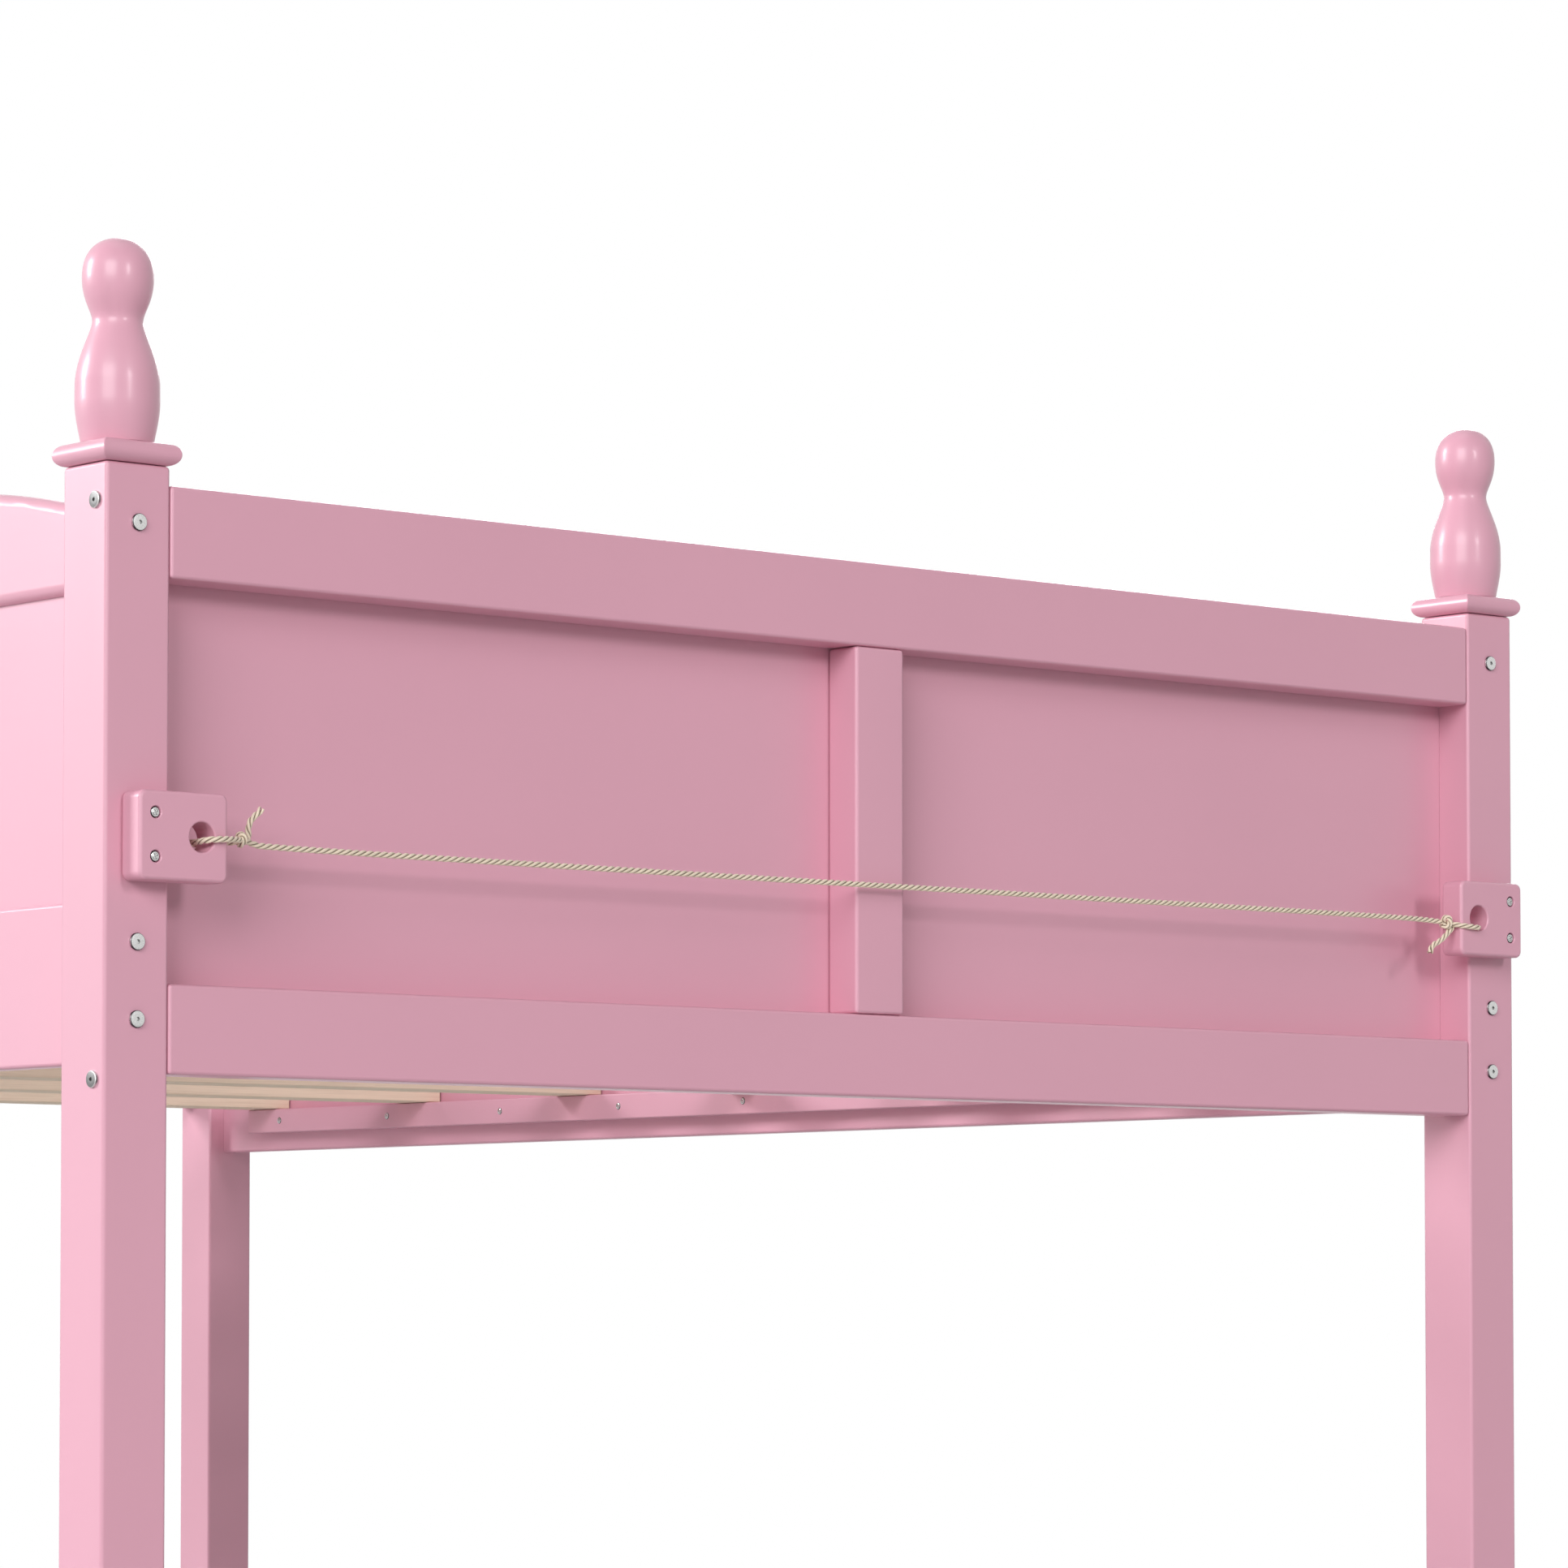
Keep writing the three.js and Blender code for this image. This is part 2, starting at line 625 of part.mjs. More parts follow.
// The loop leaves the knot, runs round the wood between the eye and the block's edge, and
// comes back. The points of its front half are chosen by hand, as how far in from the post's
// outer corner and how far in front of the rope's own plane. The back half mirrors them.
function loopCurve(side, knotIn) {
  const edge = blockInset + blockWidth;
  const face = blockThick / 2 + ropeRadius + ropeGap;
  const bore = eyeInset + Math.sqrt((eyeRadius - ropeRadius - ropeGap) ** 2 - ropeDrop ** 2);
  const bends = [
    [edge + 1.5, face - 1.4],
    [edge - 4.5, face + 0.3],
    [bore + 4.5, face + 0.4],
    [bore + 0.5, face - 2.4],
    [bore, face - 7],
  ].map(([inward, front]) => new THREE.Vector2(inward, front));
  const start = bends[0].clone().sub(new THREE.Vector2(knotIn, 0)).setLength(knotRadius + seat);
  const half = [new THREE.Vector2(knotIn + start.x, start.y), ...bends];
  const back = half.map((point) => new THREE.Vector2(point.x, -point.y)).reverse();
  const whole = [...half, new THREE.Vector2(bore, 0), ...back];
  return new THREE.CatmullRomCurve3(
    whole.map((point) => new THREE.Vector3(side * (faceX - point.x), ropeY - point.y, ropeZ)));
}

// A knot and its tail, whose points are chosen by hand: across the bed and up from the knot.
function knotGeometry(tail) {
  const knot = new THREE.SphereGeometry(knotRadius, knotSides, knotBands);
  const points = tail.map(([across, up]) => new THREE.Vector3(across, -tailFront, up));
  return fuse([knot, ropeTube(new THREE.CatmullRomCurve3([new THREE.Vector3(), ...points]), tailSteps)]);
}

const ropeEnds = [
  { key: 'left', side: -1, knotOut: knotOutLeft, tail: [[5.4, 4.8], [8.1, 12.9], [13.5, 19.7], [24.3, 28]] },
  { key: 'right', side: 1, knotOut: knotOutRight,
    tail: [[2.8, -6.3], [-1.9, -14], [-9.2, -19.6], [-16.6, -23.1], [-22.1, -29.4]] },
];
const knotPlaces = ropeEnds.map(({ key, side, knotOut, tail }) => {
  const knotIn = blockInset + blockWidth + knotOut;
  const x = side * (faceX - knotIn);
  add(`rope_block_${key}`, ropeBlockGeometry(side), paint,
    side * (faceX - blockInset - blockWidth / 2), ropeY, blockLevel);
  add(`rope_loop_${key}`, ropeTube(loopCurve(side, knotIn), ropeLoopSteps), hemp);
  add(`rope_knot_${key}`, knotGeometry(tail), hemp, x, ropeY, ropeZ);
  return x;
});
const line = new THREE.LineCurve3(
  new THREE.Vector3(knotPlaces[0] + knotRadius + seat, ropeY, ropeZ),
  new THREE.Vector3(knotPlaces[1] - knotRadius - seat, ropeY, ropeZ));
add('rope_line', ropeTube(line, ropeLineSteps), hemp);

// The origin goes under the middle of the whole outline: the ladder reaches out furthest on
// the left, the rope blocks at the near end, and the caps at the other two.
const capOver = (capSide - postSide) / 2;
const ladderOver = railOuter + seat + ladderDepth - faceX;
bed.position.set((ladderOver - capOver) / 2, (blockThick + seat - capOver) / 2, 0);

export default bed;
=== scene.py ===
"""Low loft bed in painted pine: finishes, fine pieces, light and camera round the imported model."""

import math

import bmesh
import bpy
from mathutils import Matrix, Vector


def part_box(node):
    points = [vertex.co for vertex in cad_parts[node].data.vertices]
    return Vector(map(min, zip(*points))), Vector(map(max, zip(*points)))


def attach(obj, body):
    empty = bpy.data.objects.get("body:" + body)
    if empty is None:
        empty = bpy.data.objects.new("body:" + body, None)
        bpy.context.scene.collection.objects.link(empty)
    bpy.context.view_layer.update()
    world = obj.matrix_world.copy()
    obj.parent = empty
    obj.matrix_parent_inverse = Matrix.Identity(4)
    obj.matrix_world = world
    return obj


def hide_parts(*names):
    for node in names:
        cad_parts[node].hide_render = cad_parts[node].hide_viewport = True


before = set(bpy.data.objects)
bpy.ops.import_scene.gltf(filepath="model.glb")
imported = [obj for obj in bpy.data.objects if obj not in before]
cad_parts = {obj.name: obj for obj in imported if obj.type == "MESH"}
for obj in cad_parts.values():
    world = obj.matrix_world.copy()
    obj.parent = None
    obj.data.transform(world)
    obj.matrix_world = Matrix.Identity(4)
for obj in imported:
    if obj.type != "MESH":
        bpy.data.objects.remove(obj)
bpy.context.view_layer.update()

BODY = "root"
MM = 0.001
SIDES = {"left": -1, "right": 1}      # and the way along X in which each lies
CORNERS = ("near_left", "near_right", "far_right", "far_left")

# Camera: lower than the slats, aimed up a little and shifted up for the rest

CAMERA_PLACE = Vector((-3.1398, -4.5752, 0.5678))
CAMERA_AHEAD = Vector((0.6491, 0.7607, 0))
CAMERA_TILT = math.radians(2.545)
CAMERA_LENS = 135.19
CAMERA_SENSOR = 36
CAMERA_SHIFT = 0.17


def add_camera():
    data = bpy.data.cameras.new("camera")
    data.sensor_width = CAMERA_SENSOR
    data.lens = CAMERA_LENS
    data.shift_y = CAMERA_SHIFT
    camera = bpy.data.objects.new("camera", data)
    bpy.context.scene.collection.objects.link(camera)
    ahead = CAMERA_AHEAD.normalized() * math.cos(CAMERA_TILT) + Vector((0, 0, math.sin(CAMERA_TILT)))
    camera.location = CAMERA_PLACE
    camera.rotation_euler = ahead.to_track_quat("-Z", "Y").to_euler()
    bpy.context.scene.camera = camera


# Material nodes

EVEN = (1, 1, 1)
MIX_FIRST = 6              # a Mix node's sockets for colours
MIX_SECOND = 7
MIX_RESULT = 2


def set_inputs(tree, node, values):
    """Sets a node's inputs to values, or links them to the outputs given instead."""
    for name, value in values.items():
        if isinstance(value, bpy.types.NodeSocket):
            tree.links.new(value, node.inputs[name])
        else:
            node.inputs[name].default_value = value


def add_node(tree, kind, values=None, **settings):
    """A shader node with its settings and its inputs."""
    made = tree.nodes.new(kind)
    for name, value in settings.items():
        setattr(made, name, value)
    set_inputs(tree, made, values or {})
    return made


def new_material(name):
    """An empty material: its node tree and the shader that is wired to its output."""
    material = bpy.data.materials.new(name)
    material.use_nodes = True
    tree = material.node_tree
    tree.nodes.clear()
    shader = add_node(tree, "ShaderNodeBsdfPrincipled")
    add_node(tree, "ShaderNodeOutputMaterial", {"Surface": shader.outputs["BSDF"]})
    return material, tree, shader


def noise(tree, stretch, scale, detail, roughness):
    """Noise in the object's own metres, which are stretched on each axis and then scaled."""
    place = add_node(tree, "ShaderNodeTexCoord").outputs["Object"]
    vector = add_node(tree, "ShaderNodeMapping", {"Vector": place, "Scale": stretch}).outputs["Vector"]
    values = {"Vector": vector, "Scale": scale, "Detail": detail, "Roughness": roughness}
    return add_node(tree, "ShaderNodeTexNoise", values).outputs["Fac"]


def even_noise(tree, scale, detail, roughness=0.5):
    return noise(tree, EVEN, scale, detail, roughness)


def grain_noise(tree, axis, features, detail, roughness):
    """Noise drawn out along an axis, from its features per metre along that axis and across it."""
    lengthwise, across = features
    stretch = tuple(lengthwise if i == axis else across for i in range(3))
    return noise(tree, stretch, 1.0, detail, roughness)


def calculated(tree, operation, *operands):
    return add_node(tree, "ShaderNodeMath", dict(enumerate(operands)), operation=operation).outputs["Value"]


def span(tree, factor, low, high):
    """A factor from 0 to 1 as a value from low to high."""
    values = {"Value": factor, "To Min": low, "To Max": high}
    return add_node(tree, "ShaderNodeMapRange", values).outputs["Result"]


def progress(tree, value, low, high, **settings):
    """How far a value has come from low to high, as a factor from 0 to 1."""
    values = {"Value": value, "From Min": low, "From Max": high}
    return add_node(tree, "ShaderNodeMapRange", values, **settings).outputs["Result"]


def shade(colour, factor):
    return tuple(channel * factor for channel in colour)


def ramp(tree, factor, stops):
    """A colour ramp between (place, colour) stops."""
    made = add_node(tree, "ShaderNodeValToRGB", {"Fac": factor})
    elements = made.color_ramp.elements
    while len(elements) < len(stops):
        elements.new(1)
    for element, (place, colour) in zip(elements, stops):
        element.position = place
        element.color = (*colour, 1)
    return made.outputs["Color"]


def mottled(tree, factor, places, colour, shades):
    """A colour that wanders between two shades of itself, which it reaches at two places of a factor."""
    return ramp(tree, factor, [(place, shade(colour, share)) for place, share in zip(places, shades)])


def mixed(tree, factor, first, second):
    """The first colour where the factor is 0 and the second where it is 1."""
    values = {"Factor": factor, MIX_FIRST: first, MIX_SECOND: second}
    return add_node(tree, "ShaderNodeMix", values, data_type="RGBA").outputs[MIX_RESULT]


def bumped(tree, layers):
    """A normal from bump layers, each (height, strength, depth in metres)."""
    normal = None
    for height, strength, depth in layers:
        values = {"Height": height, "Strength": strength, "Distance": depth}
        if normal is not None:
            values["Normal"] = normal
        normal = add_node(tree, "ShaderNodeBump", values).outputs["Normal"]
    return normal


# Materials. A grain is in features per metre along and across it, a relief in strength and metres.

MOTTLE_PLACES = (0.3, 0.7)
PAINT = (0.72, 0.362, 0.462)
PAINT_SHADES = (0.985, 1.015)
PAINT_ROUGHNESS = (0.36, 0.46)
PAINT_COAT = 0.32
PAINT_COAT_ROUGHNESS = 0.2
PAINT_GRAIN = (2.2, 70.0)
PAINT_GRAIN_RELIEF = (0.12, 0.00025)
CLOUD_SCALE = 3.5
ROLLER_SCALE = 520.0
ROLLER_RELIEF = (0.05, 0.0001)


def painted_pine(axis):
    """Satin paint on planed pine whose grain runs along one axis and shows through as faint relief."""
    material, tree, shader = new_material("painted_pine_" + "xyz"[axis])
    grain = grain_noise(tree, axis, PAINT_GRAIN, detail=4.0, roughness=0.6)
    cloud = even_noise(tree, CLOUD_SCALE, detail=2.0)
    roller = even_noise(tree, ROLLER_SCALE, detail=1.0)
    set_inputs(tree, shader, {
        "Base Color": mottled(tree, cloud, MOTTLE_PLACES, PAINT, PAINT_SHADES),
        "Roughness": span(tree, grain, *PAINT_ROUGHNESS),
        "Normal": bumped(tree, [(grain, *PAINT_GRAIN_RELIEF), (roller, *ROLLER_RELIEF)]),
        "Coat Weight": PAINT_COAT,
        "Coat Roughness": PAINT_COAT_ROUGHNESS,
    })
    return material


PINE_DARK = (0.69, 0.575, 0.42)
PINE_LIGHT = (0.79, 0.68, 0.52)
PINE_PALEST = shade(PINE_LIGHT, 1.12)
PINE_PLACES = (0.36, 0.52, 0.7)   # of the grain's noise, at which it has these three colours
PINE_ROUGHNESS = (0.5, 0.72)
BROAD_GRAIN = (2.4, 120.0)
BROAD_RELIEF = (0.2, 0.0003)
FINE_GRAIN = (14.0, 900.0)
FINE_RELIEF = (0.25, 0.0002)


def bare_pine():
    """Planed bare pine with its grain along X, the length of the slats."""
    material, tree, shader = new_material("bare_pine")
    broad = grain_noise(tree, 0, BROAD_GRAIN, detail=3.0, roughness=0.55)
    fine = grain_noise(tree, 0, FINE_GRAIN, detail=3.0, roughness=0.7)
    mean = calculated(tree, "MULTIPLY", calculated(tree, "ADD", broad, fine), 0.5)
    set_inputs(tree, shader, {
        "Base Color": ramp(tree, mean, list(zip(PINE_PLACES, (PINE_DARK, PINE_LIGHT, PINE_PALEST)))),
        "Roughness": span(tree, fine, *PINE_ROUGHNESS),
        "Normal": bumped(tree, [(broad, *BROAD_RELIEF), (fine, *FINE_RELIEF)]),
    })
    return material


ZINC = (0.66, 0.66, 0.65)
ZINC_ROUGHNESS = (0.2, 0.34)
ZINC_PAINTED_SHADE = (0.08, 0.08, 0.085)    # painted shade and dark reflection on bevels, grooves and recesses
SIDE_BOLT_PAINTED_SHADE = (0.18, 0.18, 0.18)   # painted reflection: the side bolts' flats are darkened for the grey they mirror, and their rims are as bright as zinc
SIDE_BOLT_ROUGHNESS = (0.42, 0.52)
STEEL_MOTTLE_PLACES = (0.35, 0.65)
STEEL_SHADES = (0.86, 1.0)
STEEL_SCALE = 900.0
STEEL_RELIEF = (0.05, 0.00005)
FLAT_LEAN = (0.8, 0.95)    # how far a face looks along X or Y, from the rim's tone to the flat's


def steel(name, flat, rim, roughness):
    """Plated steel for heads that face along X or Y, whose flats and bevels take two tones as painted
    reflection.
    """
    material, tree, shader = new_material(name)
    mottle = even_noise(tree, STEEL_SCALE, detail=3.0)
    facing = add_node(tree, "ShaderNodeNewGeometry").outputs["True Normal"]
    parts = add_node(tree, "ShaderNodeSeparateXYZ", {"Vector": facing}).outputs
    squareness = calculated(tree, "MAXIMUM", *(calculated(tree, "ABSOLUTE", parts[k]) for k in range(2)))
    flatness = progress(tree, squareness, *FLAT_LEAN)
    mottled_flat = mottled(tree, mottle, STEEL_MOTTLE_PLACES, flat, STEEL_SHADES)
    set_inputs(tree, shader, {
        # painted reflection: flats and bevels take the tones of the light and shade they mirror
        "Base Color": mixed(tree, flatness, (*rim, 1), mottled_flat),
        "Roughness": span(tree, mottle, *roughness),
        "Normal": bumped(tree, [(mottle, *STEEL_RELIEF)]),
        "Metallic": 1,
    })
    return material


HEMP_LIGHT = (0.94, 0.82, 0.655)
HEMP_DARK = (0.74, 0.62, 0.46)
HEMP_PAINTED_GROOVE_SHADE = (0.33, 0.25, 0.17)
HEMP_SHADES = (0.93, 1.07)
HEMP_LIGHTNESS = (0.15, 1.15)     # share of the light tone, from the darkest fibre to the palest
HEMP_ROUGHNESS = 0.85
HEMP_SHEEN = 0.25
GROOVE_SPAN = (-0.2, 0.5)  # how far a strand's surface faces out of the rope, from the painted groove shade to the crest
PATCH_SCALE = 60.0
FIBRE_SCALE = 1900.0
FIBRE_RELIEF = (0.7, 0.0003)


def hemp():
    """Pale twisted fibre, with painted shade in the grooves between its strands."""
    material, tree, shader = new_material("hemp")
    fibre = even_noise(tree, FIBRE_SCALE, detail=3.0, roughness=0.7)
    patch = even_noise(tree, PATCH_SCALE, detail=2.0)
    light = mottled(tree, patch, MOTTLE_PLACES, HEMP_LIGHT, HEMP_SHADES)
    crest = mixed(tree, span(tree, fibre, *HEMP_LIGHTNESS), (*HEMP_DARK, 1), light)
    outward = add_node(tree, "ShaderNodeAttribute", attribute_name="outward").outputs["Fac"]
    set_inputs(tree, shader, {
        # painted shade in the grooves, where the strands face in towards the rope's axis
        "Base Color": mixed(tree, progress(tree, outward, *GROOVE_SPAN), (*HEMP_PAINTED_GROOVE_SHADE, 1), crest),
        "Roughness": HEMP_ROUGHNESS,
        "Normal": bumped(tree, [(fibre, *FIBRE_RELIEF)]),
        "Sheen Weight": HEMP_SHEEN,
    })
    return material


PAINTED = [painted_pine(axis) for axis in range(3)]
PINE = bare_pine()
# zinc heads with painted shade on their bevels, grooves and recesses
METAL = steel("zinc", ZINC, ZINC_PAINTED_SHADE, ZINC_ROUGHNESS)
# the side bolts' steel, with their flats darkened as painted reflection
SIDE_BOLT_METAL = steel("side_bolt_painted_shade", SIDE_BOLT_PAINTED_SHADE, ZINC, SIDE_BOLT_ROUGHNESS)
FIBRE = hemp()


# Meshes

SHARP = math.radians(48)
CUT_WELD = 1e-6            # metres within which a carved mesh's points are joined


def mesh_of(name, bm):
    """A mesh from bmesh data, smooth except at edges sharper than SHARP."""
    bmesh.ops.recalc_face_normals(bm, faces=bm.faces)
    for face in bm.faces:
        face.smooth = True
    for edge in bm.edges:
        edge.smooth = edge.calc_face_angle(math.pi) < SHARP
    mesh = bpy.data.meshes.new(name)
    bm.to_mesh(mesh)
    bm.free()
    return mesh


def even_normals(piece):
    """Shades flat faces flat up to the rounded edges that they run into."""
    evened = piece.modifiers.new("normals", "WEIGHTED_NORMAL")
    evened.weight = 100
    evened.keep_sharp = True


def add_piece(name, mesh, material, replaced=()):
    """A piece of the bed that rides on its one body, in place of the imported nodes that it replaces."""
    piece = bpy.data.objects.new(name, mesh)
    bpy.context.scene.collection.objects.link(piece)
    mesh.materials.append(material)
    even_normals(piece)
    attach(piece, BODY)
    if replaced:
        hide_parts(*replaced)
    return piece


def lathe(profile, sides):
    """A closed turning round Z, from (radius, level) points that start and end on the axis."""
    bm = bmesh.new()
    rings = []
    for radius, level in profile:
        count = sides if radius > 0 else 1
        angles = [2 * math.pi * i / sides for i in range(count)]
        rings.append([bm.verts.new((radius * math.cos(a), radius * math.sin(a), level)) for a in angles])
    for lower, upper in zip(rings, rings[1:]):
        for i in range(sides):
            # three points, where one of the rings is a point on the axis
            quad = [lower[i % len(lower)], lower[(i + 1) % sides % len(lower)],
                    upper[(i + 1) % sides % len(upper)], upper[i % len(upper)]]
            bm.faces.new(list(dict.fromkeys(quad)))
    return bm


def bezier(start, pull_start, pull_end, end, steps):
    """Points of a cubic curve after its start."""
    points = []
    for i in range(1, steps + 1):
        t = i / steps
        weights = ((1 - t) ** 3, 3 * t * (1 - t) ** 2, 3 * t * t * (1 - t), t ** 3)
        corners = (start, pull_start, pull_end, end)
        points.append(tuple(sum(w * c[k] for w, c in zip(weights, corners)) for k in range(2)))
    return points


def placed(bm, place, rotation=None):
    """The bmesh, turned and then moved to its place."""
    if rotation is not None:
        bmesh.ops.rotate(bm, verts=bm.verts, matrix=rotation)
    bmesh.ops.translate(bm, verts=bm.verts, vec=place)
    return bm


def carved(mesh, cutters):
    """The mesh with the cutters' bmeshes taken out of it."""
    body = bpy.data.objects.new("carving", mesh)
    bpy.context.scene.collection.objects.link(body)
    tools = []
    for bm in cutters:
        tool = bpy.data.objects.new("cutter", mesh_of("cutter", bm))
        bpy.context.scene.collection.objects.link(tool)
        tools.append(tool)
        cut = body.modifiers.new("cut", "BOOLEAN")
        cut.operation = "DIFFERENCE"
        cut.solver = "EXACT"
        cut.object = tool
    bpy.context.view_layer.update()
    result = bpy.data.meshes.new_from_object(body.evaluated_get(bpy.context.evaluated_depsgraph_get()))
    for made in [body, *tools]:
        bpy.data.objects.remove(made)
    bm = bmesh.new()
    bm.from_mesh(result)
    bmesh.ops.remove_doubles(bm, verts=bm.verts, dist=CUT_WELD)
    return mesh_of(mesh.name, bm)


def merged(name, meshes):
    """One mesh from several, which are then dropped."""
    bm = bmesh.new()
    for mesh in meshes:
        bm.from_mesh(mesh)
        bpy.data.meshes.remove(mesh)
    return mesh_of(name, bm)


# Boards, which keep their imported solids

BOARD_WELD = 1e-5          # metres
REPLACED = ("finial", "post_cap", "rope", "rail_bolt")     # starts of the names of nodes replaced below


def soften(node):
    """Joins a packed board's faces at its rounded edges and shades those smooth."""
    node.data.polygons.foreach_set("use_smooth", [True] * len(node.data.polygons))
    weld = node.modifiers.new("weld", "WELD")
    weld.merge_threshold = BOARD_WELD
    split = node.modifiers.new("split", "EDGE_SPLIT")
    split.split_angle = SHARP
    even_normals(node)


def dress_board(name, material):
    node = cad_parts[name]
    node.data.materials.clear()
    node.data.materials.append(material)
    soften(node)


def grain_axis(name):
    low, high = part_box(name)
    size = high - low
    return max(range(3), key=lambda i: size[i])


def dress_boards():
    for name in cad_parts:
        if name.startswith("slat_") and not name.startswith("slat_bearer"):
            dress_board(name, PINE)
        elif not name.startswith(REPLACED):
            dress_board(name, PAINTED[grain_axis(name)])


# Posts' caps and finials

CAP_ROUND = 8.1 * MM
CAP_STEPS = 14
MITRE = 0.8 * MM           # the smallest corner radius of a plate's outline
MITRE_STEPS = 3
TURNING_SIDES = 96
CURVE_STEPS = 18
FINIAL_BASE = 27 * MM
FINIAL_BELLY = 31.6 * MM
FINIAL_NECK = 18.9 * MM
FINIAL_BALL = 26.6 * MM
FINIAL_HEIGHT = 152.7 * MM
BELLY_FROM = 31 * MM       # levels above the cap between which the belly is at its widest
BELLY_TO = 41 * MM
NECK_LEVEL = 91 * MM
BALL_LEVEL = 123 * MM
FOOT_PULL_OUT = 1.8 * MM   # how far past the base the foot's curve sets out, and its pulls' levels
FOOT_PULL_START = 10 * MM
FOOT_PULL_END = 20 * MM
WAIST_PULLS = (0.46, 0.17)
BALL_PULLS = (0.23, 0.53)
DOME_POWER = 2.3           # 2 would be an ellipse, and more is blunter


def swell(start, end, pull_start, pull_end):
    """Points of an S curve that leaves and arrives upright; the pulls are shares of its height."""
    rise = end[1] - start[1]
    return bezier(start, (start[0], start[1] + pull_start * rise), (end[0], end[1] - pull_end * rise), end,
                  CURVE_STEPS)


def finial_profile():
    base, belly = (FINIAL_BASE, 0.0), (FINIAL_BELLY, BELLY_FROM)
    foot = bezier(base, (FINIAL_BASE + FOOT_PULL_OUT, FOOT_PULL_START), (FINIAL_BELLY, FOOT_PULL_END), belly,
                  CURVE_STEPS)
    waist = swell((FINIAL_BELLY, BELLY_TO), (FINIAL_NECK, NECK_LEVEL), *WAIST_PULLS)
    ball = swell((FINIAL_NECK, NECK_LEVEL), (FINIAL_BALL, BALL_LEVEL), *BALL_PULLS)
    dome = []
    for i in range(1, CURVE_STEPS):
        angle = i / CURVE_STEPS * math.pi / 2
        out, up = math.cos(angle) ** (2 / DOME_POWER), math.sin(angle) ** (2 / DOME_POWER)
        dome.append((FINIAL_BALL * out, BALL_LEVEL + (FINIAL_HEIGHT - BALL_LEVEL) * up))
    return [(0.0, 0.0), base, *foot, *waist, *ball, *dome, (0.0, FINIAL_HEIGHT)]


def outline_ring(bm, half_x, half_y, level, corner, steps):
    """A rectangle of points with round corners."""
    ring = []
    for quarter in range(4):
        turn = math.pi / 2 * quarter
        centre_x = (math.cos(turn) - math.sin(turn)) * (half_x - corner)
        centre_y = (math.sin(turn) + math.cos(turn)) * (half_y - corner)
        for i in range(steps + 1):
            angle = turn + math.pi / 2 * i / steps
            x, y = centre_x + corner * math.cos(angle), centre_y + corner * math.sin(angle)
            ring.append(bm.verts.new((x, y, level)))
    return ring


def plate(size, round_by, round_steps, corner, corner_steps):
    """A plate in the XY plane, rounded at both faces, whose outline's corners tighten towards them."""
    bm = bmesh.new()
    rings = []
    for top in (-1, 1):
        for i in range(round_steps + 1):
            share = i / round_steps if top > 0 else 1 - i / round_steps
            inset = round_by * (1 - math.cos(share * math.pi / 2))
            level = top * (size[2] / 2 - round_by + round_by * math.sin(share * math.pi / 2))
            rings.append(outline_ring(bm, size[0] / 2 - inset, size[1] / 2 - inset, level,
                                      max(corner - inset, MITRE), corner_steps))
    for lower, upper in zip(rings, rings[1:]):
        for i in range(len(lower)):
            j = (i + 1) % len(lower)
            bm.faces.new((lower[i], lower[j], upper[j], upper[i]))
    bm.faces.new(rings[0])
    bm.faces.new(rings[-1])
    return bm


def add_caps_and_finials():
    for corner in CORNERS:
        low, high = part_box("post_cap_" + corner)
        middle = (low + high) / 2
        cap = placed(plate(high - low, CAP_ROUND, CAP_STEPS, MITRE, MITRE_STEPS), middle)
        add_piece("cap_" + corner, mesh_of("cap_" + corner, cap), PAINTED[0], ["post_cap_" + corner])
        name = "turned_finial_" + corner
        foot = Vector((middle.x, middle.y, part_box("finial_" + corner)[1].z - FINIAL_HEIGHT))
        turning = placed(lathe(finial_profile(), TURNING_SIDES), foot)
        add_piece(name, mesh_of(name, turning), PAINTED[2], ["finial_" + corner])


# Fasteners. Each is turned with its head upwards and laid over to face the way it points.

BOLT_RADIUS = 3.4 * MM
BOLT_HEAD_RADIUS = 6.4 * MM
BOLT_HEAD_THICK = 2 * MM
BOLT_HEAD_BEVEL = 0.5 * MM
BOLT_SOCKET_RADIUS = 1.8 * MM
BOLT_SOCKET_DEPTH = 1.3 * MM
SOCKET_SIDES = 6
SOCKET_CUTTER_TOP = 10 * MM
INSERT_RADIUS = 5.5 * MM
INSERT_FROM_TIP = (18 * MM, 43 * MM)   # from the tip of a bolt back to the two ends of its insert
END_BOLT_INSET = 13.7 * MM
END_BOLT_LEVELS = (737.8 * MM, 1163.4 * MM)
END_BOLT_ROOT = 12 * MM    # how deep a side bolt's shank is drawn into its post
SCREW_RADIUS = 3.9 * MM
SCREW_BEVEL = 0.5 * MM
SCREW_RING = 0.8 * MM      # width of the head's flat ring outside its groove
SCREW_GROOVE = 0.35 * MM
SCREW_DOME = 0.7 * MM
SCREW_ROOT = 1.6 * MM
CROSS_WIDTH = 0.8 * MM
CROSS_REACH = 2.1 * MM
CROSS_DEPTH = 1.0 * MM
CROSS_TURN = math.radians(20)
CLEAT_SCREW_RADIUS = 3.6 * MM
CLEAT_SCREW_END = 61 * MM
CLEAT_SCREWS = 9
HEAD_SIDES = 48
DOME_STEPS = 4
FACING = {
    "-x": Matrix.Rotation(-math.pi / 2, 3, "Y"),
    "+x": Matrix.Rotation(math.pi / 2, 3, "Y"),
    "-y": Matrix.Rotation(math.pi / 2, 3, "X"),
    "+y": Matrix.Rotation(-math.pi / 2, 3, "X"),
}


